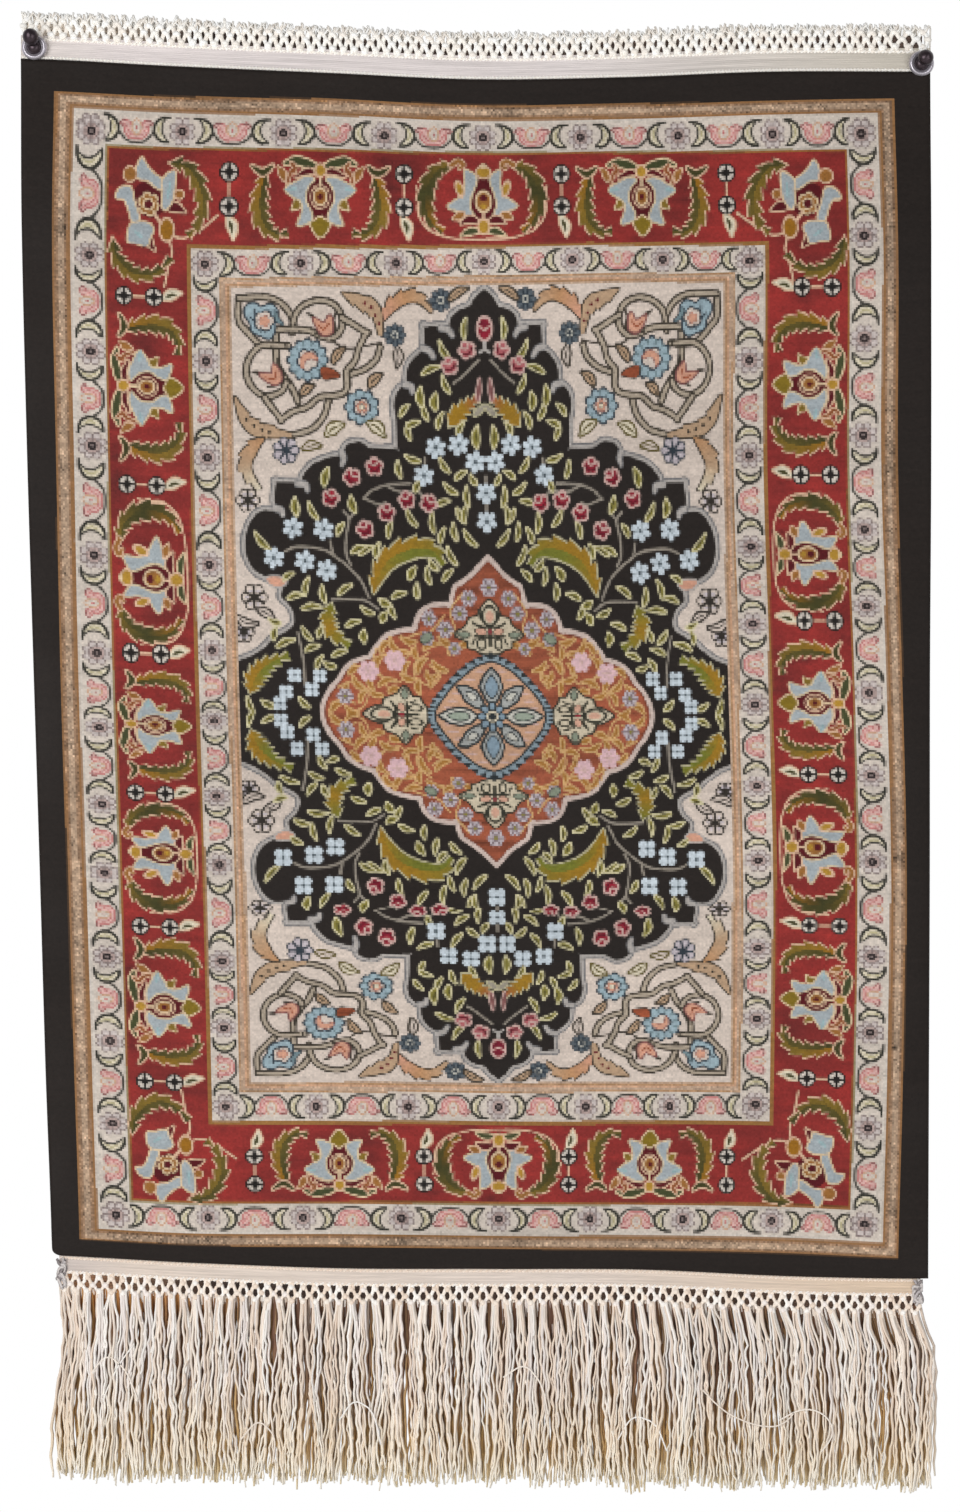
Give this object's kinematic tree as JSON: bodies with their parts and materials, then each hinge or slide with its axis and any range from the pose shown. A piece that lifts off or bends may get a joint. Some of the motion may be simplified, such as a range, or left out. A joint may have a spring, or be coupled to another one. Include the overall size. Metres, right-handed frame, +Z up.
{
  "type": "hereke carpet with two hanging pins",
  "caption": "Small silk pile carpet with a lobed medallion on a light field, red border and knotted cream fringes, hung by dome-headed pins in its top corners.",
  "frame": {"origin": "on the wall plane, midway between the two pins", "axes": "+X to the viewer's right, +Y into the wall, +Z up"},
  "size_m": [0.4624, 0.022, 0.7465],
  "materials": {
    "silk_pile": "fine cut silk pile with a soft sheen",
    "fringe_yarn": "undyed cream silk warp yarn",
    "pin_steel": "polished plated steel"
  },
  "bodies": {
    "root": {"carpet": "silk_pile", "fringe_top": "fringe_yarn", "fringe_bottom": "fringe_yarn", "pin_left": "pin_steel", "pin_right": "pin_steel"}
  },
  "joints": []
}
